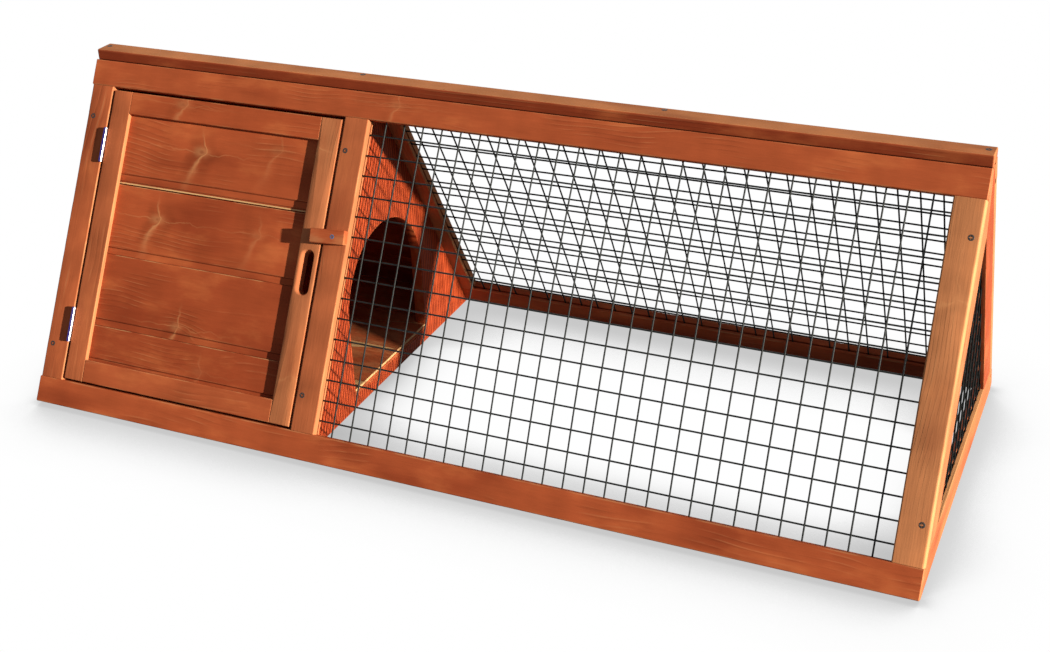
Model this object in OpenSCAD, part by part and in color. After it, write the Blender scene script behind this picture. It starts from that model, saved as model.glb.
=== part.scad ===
// Outdoor rabbit run. Two leaning side panels of grooved battens meet under a ridge board.
// The left third is a boarded den with a door, a raised floor and a partition with an arched doorway.
// The rest is an open-bottomed run, closed by wire mesh held in the grooves of the battens.
// Origin: middle of the base. +X points to the open end, -Y to the door side, +Z up.

/* [Run] */
// Length along the ridge
run_l = 1153; // [1100:1:1200]
// Slope height of a side panel, on its outer face
panel_h = 458.5; // [450:0.5:470]
// Lean of the side panels from the ground, in degrees
lean = 60.5; // [60:0.25:61]
// Depth planed off the lowest arris of the long rails, so that they stand flat
sole_cut = 1; // [0.5:0.1:1.5]

/* [Battens] */
// Thickness of the battens
batten_t = 15; // [15:0.5:17]
// Face width of the long rails
rail_w = 34; // [32:1:36]
// Face width of the posts between the rails
post_w = 33; // [32:1:34]
// Face width of the battens in the two end frames
end_w = 42; // [38:1:46]
// Planed corner along each batten
arris = 1.2; // [0.6:0.1:1.6]
// Distance from a rail's end to the outer post
post_inset = 1.5; // [0.5:0.5:3]
// Left edge of the front middle post, from the left end
mid_post_x = 383.6; // [380:0.1:390]
// How far the back middle post stands to the right of the front one
back_post_shift = 5.4; // [0:0.1:6]

/* [Mesh] */
// Thickness of the wire
wire_d = 2; // [1.6:0.1:2.2]
// Spacing of the net's bars
net_pitch = 38.1; // [38.1:12.7:63.5]
// Width of the saw groove that holds the mesh
groove_w = 2.6; // [2.4:0.1:3]
// Depth of the saw groove
groove_d = 8; // [7:0.5:9]
// Depth of the mesh below the outer face of a side panel
mesh_depth = 10; // [9.5:0.5:10.5]
// How far the wires reach into the groove
mesh_bite = 6; // [4:0.5:6.5]

/* [Boards] */
// Thickness of the tongued and grooved boards
board_t = 8; // [7:0.5:8]
// Face width that one board covers
board_cover = 94; // [93:0.5:95]
// Planed corner along a board's upper edge
board_v = 1.2; // [0.5:0.1:1.8]
// Width of the sunk strip along a board's lower edge
strip_w = 8.5; // [6:0.5:12]
// Depth of the sunk strip
strip_d = 1.5; // [1:0.1:1.8]
// Length of a board's tongue
tongue_l = 4; // [3:0.5:5]
// Thickness of a board's tongue
tongue_t = 3; // [2:0.5:3]

/* [Door] */
// Gap around the door
door_gap = 3; // [3:0.1:3.2]
// Face width of the door's stiles and rails
door_w = 29; // [28:1:30]
// How far the door's boards lie below the face of its frame
door_recess = 5.8; // [5.6:0.1:6]
// Gap of the door's highest board joint, where the boards have moved apart
open_joint = 5.2; // [0:0.2:6]
// Width of the rebate that holds the boards
rebate_w = 5; // [4:0.5:6]
// Width of the finger slot
slot_w = 15; // [13:0.5:16]
// Height of the finger slot
slot_h = 55; // [50:1:60]
// Height of the finger slot's middle, up the slope
slot_v = 227.3; // [220:0.1:235]

/* [Hinges and button] */
// Length of a hinge leaf
hinge_l = 44; // [40:1:50]
// Depth of a hinge leaf from the panel's face
hinge_depth = 12; // [10:1:13]
// Thickness of a hinge leaf
leaf_t = 1.2; // [1:0.1:1.2]
// Radius of a hinge knuckle
knuckle_r = 2.5; // [2.4:0.1:2.6]
// Radius of a hinge pin
pin_r = 1.2; // [1.1:0.1:1.2]
// Height of the lower hinge's middle, up the slope
low_hinge_v = 108; // [100:1:120]
// Height of the upper hinge's middle, up the slope
high_hinge_v = 347; // [330:1:350]
// Length of the turn button
button_l = 49; // [46:1:52]
// Width of the turn button
button_w = 18; // [16:1:20]
// Thickness of the turn button
button_t = 9; // [9:0.5:10]
// Distance from the turn button's short end to its screw
button_offset = 17; // [16:0.5:18]
// Height of the turn button's screw, up the slope
button_v = 275.8; // [270:0.1:290]
// How far the long end of the button hangs below level, in degrees
button_sag = 4; // [0:0.5:8]

/* [Den] */
// Thickness of the partition
partition_t = 15; // [15:0.5:16]
// Left face of the partition, from the left end
partition_x = 388; // [387:0.5:389]
// Radius of the doorway's arch
arch_r = 98; // [90:1:100]
// Height of the arch's centre above the ground
arch_z = 123; // [118:1:125]
// Height of the floor's underside
floor_z = 18; // [16:1:20]
// Width of a floor bearer
bearer_w = 20; // [15:1:30]

/* [Ridge] */
// Width of the ridge board
cap_w = 28; // [26:1:32]
// Thickness of the ridge board
cap_t = 14.6; // [14:0.1:16]

/* [Hidden] */
fit = 0.2;                 // Clearance between pieces that are cut to fit
slip = 0.05;               // Clearance of a turning fit
apex_gap = 1;              // Gap between the two side panels at the ridge
screw_r = 1.9;             // Shank of the frame screws
screw_head_r = 3.75;       // Head of the frame screws
screw_head_h = 2.6;
screw_l = 40;
ridge_screw_l = 22;
pilot = 0.1;               // Clearance around a screw
round_fn = 48;

z_foot = batten_t * cos(lean) - sole_cut;
base_half = panel_h * cos(lean) + batten_t / sin(lean) + apex_gap / 2;
top_v = panel_h - rail_w;
arris_y = base_half - panel_h * cos(lean);
arris_z = z_foot + panel_h * sin(lean);
cap_z = arris_z - (arris_y - cap_w / 2 + arris) / tan(lean) + fit / 2;
apex_z = cap_z - 0.5;
groove_out = mesh_depth - groove_w / 2;
groove_in = mesh_depth + groove_w / 2;
right_post_x = run_l - post_inset - post_w;
mesh_inset = batten_t - mesh_depth + 0.5;

// Front and back middle posts, and the screws that reach the end frames and the partition
back_mid_x = mid_post_x + back_post_shift;
front_screw_x = [post_inset + 9, partition_x + 4.1, run_l - 9.6];
back_screw_x = [post_inset + 9, partition_x + partition_t / 2 + 1.5, run_l - 9.6];
screw_v = [78.4, 383];

// Door, in the panel's own u (along) and v (up the slope)
door_u0 = post_inset + post_w + door_gap;
door_u1 = mid_post_x - door_gap;
door_v0 = rail_w + door_gap;
door_v1 = top_v - door_gap - 1;
hinge_u = (post_inset + post_w + door_u0) / 2;
hinge_out = knuckle_r + 0.1;
knuckle_gap = 0.3;
leaf_screw_r = 1.3;
leaf_screw_v = [-12, 12];
leaf_screw_depth = 7;
button_u = mid_post_x + post_w / 2;
button_lift = 0.6;
button_screw_l = 23;

// Door boards hang from the top rail; the lowest one is cut to what is left
door_board_top = door_v1 - door_w + rebate_w;
door_board_low = door_v0 + door_w - rebate_w;
door_pitch = board_cover + 0.5;
door_rows = [for (i = [0:3]) [
    i == 3 ? door_board_low : door_board_top - (i + 1) * door_pitch + (i == 0 ? open_joint / 2 : 0),
    door_board_top - i * door_pitch - (i == 1 ? open_joint / 2 : 0)]];

// Boards of the back wall, from the ground up the slope
back_low_v = 8;
back_high_v = 436;
back_rows = [for (i = [0:4]) [
    back_low_v + i * board_cover,
    min(back_high_v, back_low_v + (i + 1) * board_cover)]];
lining_x = batten_t + board_t + fit;

// Floor boards, counted from the door side
floor_front = -inner_y(floor_z + board_t) + fit;
floor_back = inner_y(floor_z + board_t) - board_t / sin(lean) - fit;
floor_joint = 20;
floor_rows = [for (i = [-2:2]) [
    max(floor_front, floor_joint + (i - 1) * board_cover),
    min(floor_back, floor_joint + i * board_cover)]];

// Boards of the left end, from the ground up
left_low_z = 2;

// Ridge screws: the end ones go into the end frames, the others into the back rail
ridge_screw_at = [[8, 2.6], [389.6, 7], [783.3, 7], [1145, 2.6]];

// Half the clear width between the side panels' inner faces at height z
function inner_y(z) = base_half - batten_t / sin(lean) - (z - z_foot) / tan(lean);

// ---- Places: a panel's own axes are u along the run, v up the slope, w out of its face ----

module on_front() {
    translate([-run_l / 2, -base_half, z_foot]) rotate([lean, 0, 0]) children();
}

module on_back() {
    mirror([0, 1, 0]) on_front() children();
}

// An outline in (y, z), given thickness along X from x0 (counted from the left end)
module across(x0, thickness) {
    translate([x0 - run_l / 2, 0, 0]) rotate([90, 0, 90]) linear_extrude(thickness) children();
}

// ---- Sections ----

// Saw groove in the edge at a, opening towards larger values (step = 1) or smaller ones (step = -1)
function groove_points(a, step) = step > 0
    ? [[a, -groove_out], [a - groove_d, -groove_out], [a - groove_d, -groove_in], [a, -groove_in]]
    : [[a, -groove_in], [a + groove_d, -groove_in], [a + groove_d, -groove_out], [a, -groove_out]];

// Batten from 0 to width, with a groove in its low or its high edge
function batten_section(width, low = false, high = false) = concat(
    [[arris, 0], [width - arris, 0], [width, -arris]],
    high ? groove_points(width, 1) : [],
    [[width, -batten_t + arris], [width - arris, -batten_t], [arris, -batten_t], [0, -batten_t + arris]],
    low ? groove_points(0, -1) : [],
    [[0, -arris]]);

// Bottom rail: its lowest arris is planed level with the ground
function bottom_section() = concat(
    [[arris, 0], [rail_w - arris, 0], [rail_w, -arris]],
    groove_points(rail_w, 1),
    [[rail_w, -batten_t + arris], [rail_w - arris, -batten_t],
     [sole_cut / sin(lean), -batten_t], [0, -batten_t + sole_cut / cos(lean)], [0, -arris]]);

// Tongued and grooved board from 0 to width, with its face at 0 and its back at -board_t.
// The lower edge has the sunk strip and the tongue, the upper edge the groove.
function board_section(width, tongue = true, groove = true) = concat(
    [[strip_w, -strip_d], [strip_w + strip_d, 0], [width - board_v, 0], [width, -board_v]],
    groove ? [[width, -(board_t - tongue_t) / 2 + fit],
              [width - tongue_l - 2 * fit, -(board_t - tongue_t) / 2 + fit],
              [width - tongue_l - 2 * fit, -(board_t + tongue_t) / 2 - fit],
              [width, -(board_t + tongue_t) / 2 - fit]] : [],
    [[width, -board_t], [0, -board_t]],
    tongue ? [[0, -(board_t + tongue_t) / 2], [-tongue_l, -(board_t + tongue_t) / 2],
              [-tongue_l, -(board_t - tongue_t) / 2], [0, -(board_t - tongue_t) / 2]] : [],
    [[0, -strip_d]]);

// ---- Pieces along u, along v and along an end frame ----

module along_u(u0, u1) {
    translate([u0, 0, 0]) rotate([90, 0, 90]) linear_extrude(u1 - u0) children();
}

module along_v(v0, v1) {
    translate([0, v1, 0]) rotate([90, 0, 0]) linear_extrude(v1 - v0) children();
}

// Countersunk wood screw, head flush at 0 and shank down -Z
module screw(length, shank, head, head_h) {
    rotate_extrude($fn = round_fn)
        polygon([[0, 0], [head, 0], [shank, -head_h], [shank, -length + 2 * shank], [0, -length]]);
}

module screw_hole(length, shank, head, head_h) {
    rotate_extrude($fn = round_fn)
        polygon([[0, 1], [head + pilot, 1], [head + pilot, 0], [shank + pilot, -head_h - pilot],
                 [shank + pilot, -length - pilot], [0, -length - pilot]]);
}

module frame_screws(xs) {
    for (x = xs, v = screw_v) {
        translate([x, v, 0]) screw(screw_l, screw_r, screw_head_r, screw_head_h);
    }
}

module frame_screw_holes(xs) {
    for (x = xs, v = screw_v) {
        translate([x, v, 0]) screw_hole(screw_l, screw_r, screw_head_r, screw_head_h);
    }
}

module post(u0, low, high) {
    along_v(rail_w, top_v) translate([u0, 0]) polygon(batten_section(post_w, low, high));
}

// ---- Side panels ----

module front_bottom_rail() {
    color([0.66, 0.33, 0.2]) on_front() along_u(0, run_l) polygon(bottom_section());
}

module top_rail() {
    along_u(0, run_l) translate([top_v, 0]) polygon(batten_section(rail_w, true, false));
}

module front_top_rail() {
    color([0.66, 0.33, 0.2]) on_front() top_rail();
}

module front_left_post() {
    color([0.62, 0.36, 0.22]) on_front() difference() {
        post(post_inset, false, false);
        frame_screw_holes([front_screw_x[0]]);
        hinge_screw_holes(-1);
    }
}

module front_mid_post() {
    color([0.62, 0.36, 0.22]) on_front() difference() {
        post(mid_post_x, false, true);
        frame_screw_holes([front_screw_x[1]]);
        button_place() screw_hole(button_screw_l, screw_r, screw_head_r, screw_head_h);
    }
}

module front_right_post() {
    color([0.62, 0.36, 0.22]) on_front() difference() {
        post(right_post_x, true, false);
        frame_screw_holes([front_screw_x[2]]);
    }
}

module back_bottom_rail() {
    color([0.55, 0.26, 0.16]) on_back() along_u(0, run_l) polygon(bottom_section());
}

// The ridge screws bite into this rail
module back_top_rail() {
    color([0.55, 0.26, 0.16]) difference() {
        on_back() top_rail();
        ridge_screw_holes();
    }
}

module back_left_post() {
    color([0.55, 0.3, 0.18]) on_back() difference() {
        post(post_inset, false, false);
        frame_screw_holes([back_screw_x[0]]);
    }
}

module back_mid_post() {
    color([0.55, 0.3, 0.18]) on_back() difference() {
        post(back_mid_x, false, true);
        frame_screw_holes([back_screw_x[1]]);
    }
}

module back_right_post() {
    color([0.55, 0.3, 0.18]) on_back() difference() {
        post(right_post_x, true, false);
        frame_screw_holes([back_screw_x[2]]);
    }
}

module front_post_screws() {
    color([0.16, 0.16, 0.17]) on_front() frame_screws(front_screw_x);
}

module back_post_screws() {
    color([0.16, 0.16, 0.17]) on_back() frame_screws(back_screw_x);
}

// ---- Welded mesh, as a flat net of square bars ----

// Four corners of a gap, as one path of the net's outline
function gap_points(x0, y0, x1, y1) = [[x0, y0], [x1, y0], [x1, y1], [x0, y1]];

module net(width, height) {
    nx = round(width / net_pitch);
    ny = round(height / net_pitch);
    px = (width - wire_d) / nx;
    py = (height - wire_d) / ny;
    gaps = [for (i = [0:nx - 1], j = [0:ny - 1])
        gap_points(i * px + wire_d, j * py + wire_d, (i + 1) * px, (j + 1) * py)];
    corners = concat(gap_points(0, 0, width, height), [for (g = gaps, p = g) p]);
    linear_extrude(wire_d)
        polygon(corners, [for (k = [0:len(gaps)]) [4 * k, 4 * k + 1, 4 * k + 2, 4 * k + 3]]);
}

module side_mesh(left_post_x) {
    u0 = left_post_x + post_w - mesh_bite;
    translate([u0, rail_w - mesh_bite, -mesh_depth - wire_d / 2])
        net(right_post_x + mesh_bite - u0, top_v - rail_w + 2 * mesh_bite);
}

module front_mesh() {
    color([0.25, 0.26, 0.25]) on_front() side_mesh(mid_post_x);
}

module back_mesh() {
    color([0.16, 0.16, 0.16]) on_back() side_mesh(back_mid_x);
}

// ---- End frames: a rail on the ground and two stiles that meet under the ridge ----

// Outline between two lines that run parallel to the front panel's inner face, in (y, z)
module slope_strip(near, far, z0, z1) {
    intersection() {
        polygon([[-inner_y(z0) + near / sin(lean), z0], [-inner_y(z0) + far / sin(lean), z0],
                 [-inner_y(z1) + far / sin(lean), z1], [-inner_y(z1) + near / sin(lean), z1]]);
        translate([-base_half, 0]) square([base_half - fit / 2, apex_z]);
    }
}

module end_stile(x0) {
    difference() {
        across(x0, batten_t) slope_strip(fit, end_w, end_w, apex_z);
        on_front() frame_screw_holes([x0 < run_l / 2 ? front_screw_x[0] : front_screw_x[2]]);
    }
}

module end_rail(x0) {
    foot = inner_y(0) - fit;
    shoulder = inner_y(end_w) - fit;
    across(x0, batten_t) polygon([[-foot, 0], [foot, 0], [shoulder, end_w], [-shoulder, end_w]]);
}

// Saw groove for the mesh, in the middle of the end battens' inner edges
module end_groove() {
    across(run_l - mesh_inset - groove_w / 2, groove_w) children();
}

module grooved_end_stile() {
    difference() {
        end_stile(run_l - batten_t);
        end_groove() slope_strip(end_w - groove_d, end_w + 1, end_w - 1, apex_z + 1);
    }
}

module right_end_rail() {
    mouth = inner_y(0);
    color([0.8, 0.42, 0.22]) difference() {
        end_rail(run_l - batten_t);
        end_groove() translate([-mouth, end_w - groove_d]) square([2 * mouth, groove_d + 1]);
    }
}

module right_end_front_stile() {
    color([0.8, 0.45, 0.25]) grooved_end_stile();
}

module right_end_back_stile() {
    color([0.8, 0.42, 0.22]) difference() {
        mirror([0, 1, 0]) grooved_end_stile();
        ridge_screw_holes();
    }
}

module left_end_rail() {
    color([0.6, 0.3, 0.18]) end_rail(0);
}

module left_end_front_stile() {
    color([0.6, 0.3, 0.18]) end_stile(0);
}

module left_end_back_stile() {
    color([0.6, 0.3, 0.18]) difference() {
        mirror([0, 1, 0]) end_stile(0);
        ridge_screw_holes();
    }
}

// Triangle whose sloping sides lie inset from the panels' inner faces
module end_triangle(inset, z0) {
    half = inner_y(z0) - inset / sin(lean);
    polygon([[-half, z0], [half, z0], [0, z0 + half * tan(lean)]]);
}

module right_end_mesh() {
    reach = end_w - mesh_bite;
    half = inner_y(reach) - reach / sin(lean);
    columns = ceil(half / net_pitch);
    rows = ceil(half * tan(lean) / net_pitch);
    color([0.2, 0.2, 0.2]) across(run_l - mesh_inset - wire_d / 2, wire_d) difference() {
        end_triangle(reach, reach);
        intersection() {
            end_triangle(reach + wire_d, reach + wire_d);
            union() {
                for (i = [-columns:columns - 1], j = [0:rows - 1]) {
                    translate([i * net_pitch + wire_d / 2, reach + j * net_pitch + wire_d])
                        square(net_pitch - wire_d);
                }
            }
        }
    }
}

// ---- Boards ----

module back_board(i) {
    width = back_rows[i][1] - back_rows[i][0] - fit;
    color([0.5, 0.25, 0.14]) on_back() translate([0, back_rows[i][0], -batten_t])
        along_u(lining_x, partition_x - fit) polygon(board_section(width, i > 0, i < 4));
}

module left_end_board(i) {
    color([0.5, 0.25, 0.14]) intersection() {
        translate([batten_t - run_l / 2, 0, left_low_z + i * board_cover]) rotate([90, -90, 0])
            linear_extrude(2 * base_half, center = true)
                polygon(board_section(board_cover - fit, i > 0, i < 3));
        across(batten_t, board_t) end_triangle(fit, 0);
    }
}

module back_board_1() back_board(0);
module back_board_2() back_board(1);
module back_board_3() back_board(2);
module back_board_4() back_board(3);
module back_board_5() back_board(4);

module left_end_board_1() left_end_board(0);
module left_end_board_2() left_end_board(1);
module left_end_board_3() left_end_board(2);
module left_end_board_4() left_end_board(3);

// ---- Den ----

module doorway(low_z, shrink) {
    translate([0, arch_z]) circle(r = arch_r - shrink, $fn = round_fn * 2);
    translate([shrink - arch_r, low_z]) square([2 * (arch_r - shrink), arch_z - low_z]);
}

module partition() {
    foot = inner_y(0) - fit;
    tip = inner_y(apex_z) - fit;
    color([0.85, 0.38, 0.18]) difference() {
        across(partition_x, partition_t) difference() {
            polygon([[-foot, 0], [foot, 0], [tip, apex_z], [-tip, apex_z]]);
            doorway(floor_z, 0);
        }
        on_front() frame_screw_holes([front_screw_x[1]]);
        on_back() frame_screw_holes([back_screw_x[1]]);
    }
}

module floor_bearer(x0) {
    color([0.5, 0.27, 0.15]) translate([x0 - run_l / 2, floor_front, 0])
        cube([bearer_w, floor_back - floor_front, floor_z]);
}

module left_floor_bearer() floor_bearer(lining_x);
module right_floor_bearer() floor_bearer(partition_x - fit - bearer_w);

// The boards run from the left end; only the doorway lets them reach the partition's far face
module floor_board(i) {
    y0 = floor_rows[i][0] + fit;
    y1 = floor_rows[i][1] - fit;
    color([0.55, 0.3, 0.16]) difference() {
        translate([lining_x - run_l / 2, y0, floor_z])
            cube([partition_x + partition_t - lining_x, y1 - y0, board_t]);
        across(partition_x - fit, partition_t + 1) difference() {
            translate([-base_half, 0]) square([2 * base_half, 2 * floor_z]);
            doorway(floor_z - 1, fit);
        }
    }
}

module floor_board_1() floor_board(0);
module floor_board_2() floor_board(1);
module floor_board_3() floor_board(2);
module floor_board_4() floor_board(3);
module floor_board_5() floor_board(4);

// ---- Ridge ----

module at_ridge_screws() {
    for (at = ridge_screw_at) {
        translate([at[0] - run_l / 2, at[1], cap_z + cap_t]) children();
    }
}

module ridge_screw_holes() {
    at_ridge_screws() screw_hole(ridge_screw_l, screw_r, screw_head_r, screw_head_h);
}

module ridge_board() {
    color([0.75, 0.48, 0.32]) difference() {
        across(0, run_l) translate([0, cap_z + cap_t / 2])
            polygon([for (s = [[-1, -1], [1, -1], [1, 1], [-1, 1]], k = [0, 1])
                let (turn = s[0] * s[1] > 0 ? k : 1 - k)
                [s[0] * (cap_w / 2 - turn * arris), s[1] * (cap_t / 2 - (1 - turn) * arris)]]);
        ridge_screw_holes();
    }
}

module ridge_screws() {
    color([0.16, 0.16, 0.17]) at_ridge_screws() screw(ridge_screw_l, screw_r, screw_head_r, screw_head_h);
}

// ---- Door: two stiles, two rails and four boards in a rebate ----

// Door frame batten from 0 to door_w; the rebate is in its high edge, open to the back
module door_batten_section() {
    polygon([[arris, 0], [door_w - arris, 0], [door_w, -arris], [door_w, -door_recess],
             [door_w - rebate_w - fit, -door_recess], [door_w - rebate_w - fit, -batten_t],
             [arris, -batten_t], [0, -batten_t + arris], [0, -arris]]);
}

module door_hinge_stile() {
    color([0.68, 0.36, 0.22]) on_front() difference() {
        along_v(door_v0, door_v1) translate([door_u0, 0]) door_batten_section();
        hinge_screw_holes(1);
    }
}

module door_lock_stile() {
    color([0.68, 0.36, 0.22]) on_front() difference() {
        along_v(door_v0, door_v1) translate([door_u1, 0]) mirror([1, 0]) door_batten_section();
        translate([door_u1 - door_w / 2, slot_v, -batten_t - 1]) linear_extrude(batten_t + 2) {
            for (s = [-1, 1]) {
                translate([0, s * (slot_h - slot_w) / 2]) circle(r = slot_w / 2, $fn = round_fn);
            }
            square([slot_w, slot_h - slot_w], center = true);
        }
    }
}

module door_top_rail() {
    color([0.66, 0.33, 0.2]) on_front() along_u(door_u0 + door_w, door_u1 - door_w)
        translate([door_v1, 0]) mirror([1, 0]) door_batten_section();
}

module door_bottom_rail() {
    color([0.66, 0.33, 0.2]) on_front() along_u(door_u0 + door_w, door_u1 - door_w)
        translate([door_v0, 0]) door_batten_section();
}

module door_board(i) {
    v0 = door_rows[i][0];
    color([0.68, 0.34, 0.19]) on_front() translate([0, v0, -door_recess])
        along_u(door_u0 + door_w - rebate_w, door_u1 - door_w + rebate_w)
            polygon(board_section(door_rows[i][1] - v0 - fit, i < 3, i > 0));
}

module door_board_1() door_board(0);
module door_board_2() door_board(1);
module door_board_3() door_board(2);
module door_board_4() door_board(3);

// ---- Hinges: leaves against the post's and the stile's edges, knuckles proud of the face ----

// Knuckles of one leaf: the frame's leaf (side = -1) has the outer two, the door's the middle one
function knuckle_spans(side) = let (third = hinge_l / 3) side < 0
    ? [[-hinge_l / 2, -third / 2 - knuckle_gap / 2], [third / 2 + knuckle_gap / 2, hinge_l / 2]]
    : [[-third / 2 + knuckle_gap / 2, third / 2 - knuckle_gap / 2]];

module hinge_leaf(v_mid, side) {
    inner_edge = side < 0 ? -door_gap / 2 : door_gap / 2 - leaf_t;
    translate([hinge_u, v_mid, hinge_out]) difference() {
        union() {
            translate([inner_edge, -hinge_l / 2, -hinge_out - hinge_depth])
                cube([leaf_t, hinge_l, hinge_depth - 0.3]);
            for (span = knuckle_spans(side)) {
                translate([inner_edge, span[0], -hinge_out - 2 * leaf_t])
                    cube([leaf_t, span[1] - span[0], hinge_out + 2 * leaf_t]);
                translate([0, span[1], 0]) rotate([90, 0, 0])
                    cylinder(h = span[1] - span[0], r = knuckle_r, $fn = round_fn);
            }
        }
        rotate([90, 0, 0]) cylinder(h = hinge_l + 2, r = pin_r + slip, center = true, $fn = round_fn);
        for (v = leaf_screw_v) {
            translate([0, v, -hinge_out - leaf_screw_depth]) hinge_screw_place(side)
                screw_hole(12, leaf_screw_r, 2.2, 0.9);
        }
    }
}

// A leaf's screw starts at the leaf's face in the gap and goes into the wood
module hinge_screw_place(side) {
    translate([side * (door_gap / 2 - leaf_t), 0, 0]) rotate([0, -side * 90, 0]) children();
}

module at_hinge_screws(side) {
    for (v_mid = [low_hinge_v, high_hinge_v], v = leaf_screw_v) {
        translate([hinge_u, v_mid + v, -leaf_screw_depth]) hinge_screw_place(side) children();
    }
}

module hinge_screw_holes(side) {
    at_hinge_screws(side) screw_hole(12, leaf_screw_r, 2.2, 0.9);
}

module hinge_pin(v_mid) {
    color([0.75, 0.77, 0.8]) on_front() translate([hinge_u, v_mid, hinge_out]) rotate([90, 0, 0])
        rotate_extrude($fn = round_fn) polygon([
            [0, -hinge_l / 2 - 1], [1.6, -hinge_l / 2 - 1], [2, -hinge_l / 2 - 0.6],
            [2, -hinge_l / 2 - 0.1], [pin_r, -hinge_l / 2 - 0.1], [pin_r, hinge_l / 2 + 0.1],
            [2, hinge_l / 2 + 0.1], [2, hinge_l / 2 + 0.6], [1.6, hinge_l / 2 + 1], [0, hinge_l / 2 + 1]]);
}

module upper_hinge_frame_leaf() color([0.72, 0.75, 0.8]) on_front() hinge_leaf(high_hinge_v, -1);
module upper_hinge_door_leaf() color([0.72, 0.75, 0.8]) on_front() hinge_leaf(high_hinge_v, 1);
module upper_hinge_pin() hinge_pin(high_hinge_v);
module lower_hinge_frame_leaf() color([0.72, 0.75, 0.8]) on_front() hinge_leaf(low_hinge_v, -1);
module lower_hinge_door_leaf() color([0.72, 0.75, 0.8]) on_front() hinge_leaf(low_hinge_v, 1);
module lower_hinge_pin() hinge_pin(low_hinge_v);

module hinge_frame_screws() {
    color([0.6, 0.62, 0.65]) on_front() at_hinge_screws(-1) screw(12, leaf_screw_r, 2.2, 0.9);
}

module hinge_door_screws() {
    color([0.6, 0.62, 0.65]) on_front() at_hinge_screws(1) screw(12, leaf_screw_r, 2.2, 0.9);
}

// ---- Turn button on the middle post ----

module button_place() {
    translate([button_u, button_v, button_lift + button_t]) children();
}

module turn_button() {
    far = button_offset - button_l;
    side = button_w / 2;
    cut = 1.5;
    color([0.7, 0.37, 0.2]) on_front() button_place() rotate([0, 0, button_sag]) difference() {
        translate([0, 0, -button_t]) linear_extrude(button_t)
            polygon([[far + cut, -side], [button_offset - cut, -side], [button_offset, cut - side],
                     [button_offset, side - cut], [button_offset - cut, side], [far + cut, side],
                     [far, side - cut], [far, cut - side]]);
        rotate_extrude($fn = round_fn)
            polygon([[0, 1], [screw_head_r + 2 * slip, 1], [screw_head_r + 2 * slip, 0],
                     [screw_r + slip, -screw_head_h - 2 * slip], [screw_r + slip, -button_t - 1],
                     [0, -button_t - 1]]);
    }
}

module turn_button_screw() {
    color([0.7, 0.72, 0.75]) on_front() button_place()
        screw(button_screw_l, screw_r, screw_head_r, screw_head_h);
}

front_bottom_rail();
front_top_rail();
front_left_post();
front_mid_post();
front_right_post();
front_mesh();
back_bottom_rail();
back_top_rail();
back_left_post();
back_mid_post();
back_right_post();
back_mesh();
back_board_1();
back_board_2();
back_board_3();
back_board_4();
back_board_5();
right_end_rail();
right_end_front_stile();
right_end_back_stile();
right_end_mesh();
left_end_rail();
left_end_front_stile();
left_end_back_stile();
left_end_board_1();
left_end_board_2();
left_end_board_3();
left_end_board_4();
partition();
left_floor_bearer();
right_floor_bearer();
floor_board_1();
floor_board_2();
floor_board_3();
floor_board_4();
floor_board_5();
ridge_board();
ridge_screws();
front_post_screws();
back_post_screws();
door_hinge_stile();
door_lock_stile();
door_top_rail();
door_bottom_rail();
door_board_1();
door_board_2();
door_board_3();
door_board_4();
upper_hinge_frame_leaf();
upper_hinge_door_leaf();
upper_hinge_pin();
lower_hinge_frame_leaf();
lower_hinge_door_leaf();
lower_hinge_pin();
hinge_frame_screws();
hinge_door_screws();
turn_button();
turn_button_screw();
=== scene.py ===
# %% [markdown]
# # An outdoor rabbit run
# A rabbit run is a low tent of battens and wire mesh that stands on the lawn. This one has a
# boarded den at its left end, with a door, a raised floor and an arched way in. In this lesson
# we dress a plain construction model of it: the battens get their rounded corners, the mesh its
# round wires, and everything gets its finish. The construction model tells where each piece
# lies, so we load it first and count its pieces.

# %% Load the construction model
import bpy
import math
import mathutils
import numpy as np
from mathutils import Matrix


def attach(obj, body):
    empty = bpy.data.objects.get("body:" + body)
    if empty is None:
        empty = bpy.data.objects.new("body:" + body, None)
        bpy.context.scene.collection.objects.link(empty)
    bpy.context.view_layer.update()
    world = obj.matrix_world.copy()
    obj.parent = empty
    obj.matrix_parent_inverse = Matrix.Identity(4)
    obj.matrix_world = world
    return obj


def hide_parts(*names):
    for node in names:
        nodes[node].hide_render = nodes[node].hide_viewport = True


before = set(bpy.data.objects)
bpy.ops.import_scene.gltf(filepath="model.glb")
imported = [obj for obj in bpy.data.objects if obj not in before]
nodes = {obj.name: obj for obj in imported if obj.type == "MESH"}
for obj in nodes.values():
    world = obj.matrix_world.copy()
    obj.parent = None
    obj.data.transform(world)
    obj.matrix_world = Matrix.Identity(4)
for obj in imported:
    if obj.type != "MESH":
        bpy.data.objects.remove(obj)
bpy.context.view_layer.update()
print("pieces in the construction model:", len(nodes))

# %% [markdown]
# ## The run's own sizes
# The two sides of a run lean against each other like cards. Each side is a flat panel, and all
# its battens are easy to place in the panel's own directions: u along the run, v up the slope,
# and w straight out of the face. Then one small function puts a point of the panel into the
# world. We could turn each piece by hand, but a formula does the same for thousands of points.

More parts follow.
